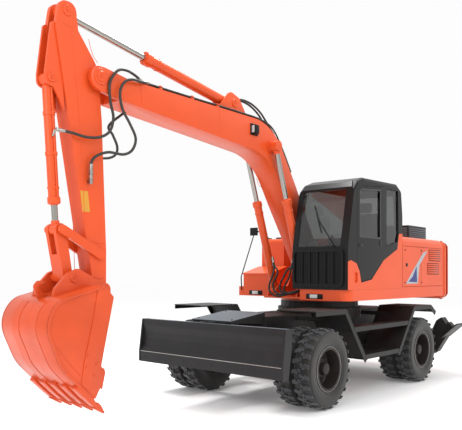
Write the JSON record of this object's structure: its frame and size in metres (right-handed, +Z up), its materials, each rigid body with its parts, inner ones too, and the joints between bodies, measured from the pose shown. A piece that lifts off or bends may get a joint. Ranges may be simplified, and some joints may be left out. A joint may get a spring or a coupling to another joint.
{
  "type": "wheeled excavator",
  "caption": "Wheeled excavator with a slewing cab and engine deck, bent boom, tapered arm, digging bucket, dozer blade, outriggers and twin tyres.",
  "frame": {"origin": "on the ground under the middle of the machine's overall length and width, working gear stretched forward as stored", "axes": "+X forward from the counterweight to the dozer blade and the working gear, +Y to the driver's left, +Z up"},
  "size_m": [7.7258, 3.0502, 4.4629],
  "materials": {
    "cab_black": "satin black paint",
    "chrome": "polished piston rod",
    "frame_grey": "satin dark grey chassis paint",
    "glass": "clear grey cab glass",
    "orange": "gloss orange-red machine paint",
    "seat_cloth": "woven seat cloth",
    "tyre_rubber": "worn black rubber"
  },
  "bodies": {
    "arm": {"arm": "orange"},
    "arm_barrel": {"arm_cylinder_barrel": "orange"},
    "arm_rod": {"arm_cylinder_rod": "chrome"},
    "blade_arms": {"blade_arms": "frame_grey"},
    "blade_barrel": {"blade_cylinder_barrel": "frame_grey"},
    "blade_rod": {"blade_cylinder_rod": "chrome"},
    "boom": {"boom": "orange"},
    "boom_barrels": {"boom_cylinder_barrel_left": "orange", "boom_cylinder_barrel_right": "orange"},
    "boom_rods": {"boom_cylinder_rod_left": "chrome", "boom_cylinder_rod_right": "chrome"},
    "bucket": {"bucket": "orange"},
    "bucket_barrel": {"bucket_cylinder_barrel": "orange"},
    "bucket_rod": {"bucket_cylinder_rod": "chrome"},
    "bucket_link": {"bucket_link": "orange"},
    "cab_door": {"cab_door": "cab_black", "cab_door_glass": "glass"},
    "upper": {"cab_frame": "cab_black", "cab_side_panel": "orange", "counterweight": "orange", "deck_frame": "frame_grey", "driver_console": "cab_black", "driver_seat": "seat_cloth", "engine_block": "frame_grey", "fluid_tank": "orange", "hood_cover": "orange", "intake_grille": "cab_black", "side_mirror": "cab_black", "toolbox": "orange"},
    "chassis": {"chassis_frame": "frame_grey", "front_axle": "frame_grey", "rear_axle": "frame_grey", "step_and_mudguards_left": "frame_grey", "step_and_mudguards_right": "frame_grey"},
    "blade": {"dozer_blade": "frame_grey"},
    "engine_door": {"engine_door_left": "orange"},
    "outrigger_barrel_left": {"outrigger_barrel_left": "frame_grey"},
    "outrigger_barrel_right": {"outrigger_barrel_right": "frame_grey"},
    "outrigger_left": {"outrigger_leg_left": "frame_grey"},
    "outrigger_right": {"outrigger_leg_right": "frame_grey"},
    "outrigger_rod_left": {"outrigger_rod_left": "chrome"},
    "outrigger_rod_right": {"outrigger_rod_right": "chrome"},
    "pump_door": {"pump_door_right": "orange"},
    "wheel_front_left": {"rims_front_left": "frame_grey", "tyre_front_left_inner": "tyre_rubber", "tyre_front_left_outer": "tyre_rubber"},
    "wheel_front_right": {"rims_front_right": "frame_grey", "tyre_front_right_inner": "tyre_rubber", "tyre_front_right_outer": "tyre_rubber"},
    "wheel_rear_left": {"rims_rear_left": "frame_grey", "tyre_rear_left_inner": "tyre_rubber", "tyre_rear_left_outer": "tyre_rubber"},
    "wheel_rear_right": {"rims_rear_right": "frame_grey", "tyre_rear_right_inner": "tyre_rubber", "tyre_rear_right_outer": "tyre_rubber"},
    "rocker": {"rocker_links": "orange"},
    "knuckle_left": {"steering_knuckle_left": "frame_grey"},
    "knuckle_right": {"steering_knuckle_right": "frame_grey"},
    "toolbox_lid": {"toolbox_lid": "orange"}
  },
  "joints": [
    {"name": "slew", "type": "hinge", "parent": "chassis", "child": "upper", "pos_m": [-1.38294, 0, 1.3], "axis": [0, 0, 1], "continuous": true},
    {"name": "boom_lift", "type": "hinge", "parent": "upper", "child": "boom", "pos_m": [-1.08294, 0, 1.8], "axis": [0, -1, 0], "range_deg": [-55, 30]},
    {"name": "boom_barrel_swing", "type": "hinge", "parent": "upper", "child": "boom_barrels", "pos_m": [-0.56294, 0, 1.46], "axis": [0, -1, 0], "range_deg": [-55.5, 30.5]},
    {"name": "boom_rod_stroke", "type": "slide", "parent": "boom_barrels", "child": "boom_rods", "axis": [0.3322, 0, 0.9432], "range_m": [-0.56, 0.31]},
    {"name": "arm_swing", "type": "hinge", "parent": "boom", "child": "arm", "pos_m": [3.09706, 0, 3.765], "axis": [0, 1, 0], "range_deg": [-80, 24]},
    {"name": "arm_barrel_swing", "type": "hinge", "parent": "boom", "child": "arm_barrel", "pos_m": [0.84706, 0, 3.97], "axis": [0, 1, 0], "range_deg": [-5, 2]},
    {"name": "arm_rod_stroke", "type": "slide", "parent": "arm_barrel", "child": "arm_rod", "axis": [0.9885, 0, 0.1515], "range_m": [-0.88, 0.27]},
    {"name": "bucket_curl", "type": "hinge", "parent": "arm", "child": "bucket", "pos_m": [3.02706, 0, 1.5], "axis": [0, 1, 0], "range_deg": [-12, 150]},
    {"name": "rocker_swing", "type": "hinge", "parent": "arm", "child": "rocker", "pos_m": [3.02706, 0, 1.905], "axis": [0, 1, 0], "range_deg": [-8.5, 98]},
    {"name": "bucket_link_swing", "type": "hinge", "parent": "bucket", "child": "bucket_link", "pos_m": [3.40706, 0, 1.665], "axis": [0, 1, 0], "range_deg": [-101.5, 9]},
    {"name": "bucket_barrel_swing", "type": "hinge", "parent": "arm", "child": "bucket_barrel", "pos_m": [3.62206, 0, 3.65], "axis": [0, 1, 0], "range_deg": [-1, 3]},
    {"name": "bucket_rod_stroke", "type": "slide", "parent": "bucket_barrel", "child": "bucket_rod", "axis": [-0.0797, 0, -0.9968], "range_m": [-0.08, 0.9]},
    {"name": "steer_left", "type": "hinge", "parent": "chassis", "child": "knuckle_left", "pos_m": [0.30006, 0.6, 0.51162], "axis": [0, 0, 1], "range_deg": [-30, 30]},
    {"name": "steer_right", "type": "hinge", "parent": "chassis", "child": "knuckle_right", "pos_m": [0.30006, -0.6, 0.51162], "axis": [0, 0, 1], "range_deg": [-30, 30]},
    {"name": "wheel_front_left_roll", "type": "hinge", "parent": "knuckle_left", "child": "wheel_front_left", "pos_m": [0.30006, 1.245, 0.51162], "axis": [0, 1, 0], "continuous": true},
    {"name": "wheel_front_right_roll", "type": "hinge", "parent": "knuckle_right", "child": "wheel_front_right", "pos_m": [0.30006, -1.245, 0.51162], "axis": [0, 1, 0], "continuous": true},
    {"name": "wheel_rear_left_roll", "type": "hinge", "parent": "chassis", "child": "wheel_rear_left", "pos_m": [-2.49494, 1.245, 0.51162], "axis": [0, 1, 0], "continuous": true},
    {"name": "wheel_rear_right_roll", "type": "hinge", "parent": "chassis", "child": "wheel_rear_right", "pos_m": [-2.49494, -1.245, 0.51162], "axis": [0, 1, 0], "continuous": true},
    {"name": "blade_lift", "type": "hinge", "parent": "chassis", "child": "blade_arms", "pos_m": [0.56706, 0, 0.5], "axis": [0, -1, 0], "range_deg": [-52, 0]},
    {"name": "blade_level", "type": "hinge", "parent": "blade_arms", "child": "blade", "pos_m": [1.12706, 0, 0.775], "axis": [0, -1, 0], "range_deg": [0, 52]},
    {"name": "blade_barrel_swing", "type": "hinge", "parent": "chassis", "child": "blade_barrel", "pos_m": [0.58206, 0, 1.04], "axis": [0, -1, 0], "range_deg": [-23, 0]},
    {"name": "blade_rod_stroke", "type": "slide", "parent": "blade_barrel", "child": "blade_rod", "axis": [0.7866, 0, -0.6175], "range_m": [0, 0.45]},
    {"name": "outrigger_left_swing", "type": "hinge", "parent": "chassis", "child": "outrigger_left", "pos_m": [-3.38294, 0.45, 0.5], "axis": [1, 0, 0], "range_deg": [-48, 0]},
    {"name": "outrigger_barrel_left_swing", "type": "hinge", "parent": "chassis", "child": "outrigger_barrel_left", "pos_m": [-3.38294, 0.14, 0.98], "axis": [1, 0, 0], "range_deg": [-21, 0]},
    {"name": "outrigger_rod_left_stroke", "type": "slide", "parent": "outrigger_barrel_left", "child": "outrigger_rod_left", "axis": [0, 0.8847, -0.4662], "range_m": [0, 0.17]},
    {"name": "outrigger_right_swing", "type": "hinge", "parent": "chassis", "child": "outrigger_right", "pos_m": [-3.38294, -0.45, 0.5], "axis": [-1, 0, 0], "range_deg": [-48, 0]},
    {"name": "outrigger_barrel_right_swing", "type": "hinge", "parent": "chassis", "child": "outrigger_barrel_right", "pos_m": [-3.38294, -0.14, 0.98], "axis": [-1, 0, 0], "range_deg": [-21, 0]},
    {"name": "outrigger_rod_right_stroke", "type": "slide", "parent": "outrigger_barrel_right", "child": "outrigger_rod_right", "axis": [0, -0.8847, -0.4662], "range_m": [0, 0.17]},
    {"name": "cab_door_swing", "type": "hinge", "parent": "upper", "child": "cab_door", "pos_m": [-1.14294, 1.24, 2.4], "axis": [0, 0, 1], "range_deg": [0, 100]},
    {"name": "engine_door_swing", "type": "hinge", "parent": "upper", "child": "engine_door", "pos_m": [-1.80294, 1.24, 1.83615], "axis": [0, 0, -1], "range_deg": [0, 85]},
    {"name": "pump_door_swing", "type": "hinge", "parent": "upper", "child": "pump_door", "pos_m": [-1.80294, -1.24, 1.83615], "axis": [0, 0, 1], "range_deg": [0, 85]},
    {"name": "toolbox_lid_swing", "type": "hinge", "parent": "upper", "child": "toolbox_lid", "pos_m": [-1.29794, -0.8625, 1.8155], "axis": [0, -1, 0], "range_deg": [0, 80]}
  ],
  "couplings": [
    {"joint": "boom_barrel_swing", "follows": "boom_lift", "ratio": 1},
    {"joint": "boom_rod_stroke", "follows": "boom_lift", "m_per_rad": 0.57},
    {"joint": "arm_barrel_swing", "follows": "arm_swing", "ratio": 0.055},
    {"joint": "arm_rod_stroke", "follows": "arm_swing", "m_per_rad": 0.62},
    {"joint": "rocker_swing", "follows": "bucket_curl", "ratio": 0.645},
    {"joint": "bucket_link_swing", "follows": "bucket_curl", "ratio": -0.67},
    {"joint": "bucket_barrel_swing", "follows": "bucket_curl", "ratio": 0.015},
    {"joint": "bucket_rod_stroke", "follows": "bucket_curl", "m_per_rad": 0.335},
    {"joint": "steer_right", "follows": "steer_left", "ratio": 1},
    {"joint": "blade_level", "follows": "blade_lift", "ratio": -1},
    {"joint": "blade_barrel_swing", "follows": "blade_lift", "ratio": 0.435},
    {"joint": "blade_rod_stroke", "follows": "blade_lift", "m_per_rad": -0.485},
    {"joint": "outrigger_barrel_left_swing", "follows": "outrigger_left_swing", "ratio": 0.42},
    {"joint": "outrigger_rod_left_stroke", "follows": "outrigger_left_swing", "m_per_rad": -0.2},
    {"joint": "outrigger_barrel_right_swing", "follows": "outrigger_right_swing", "ratio": 0.42},
    {"joint": "outrigger_rod_right_stroke", "follows": "outrigger_right_swing", "m_per_rad": -0.2}
  ]
}
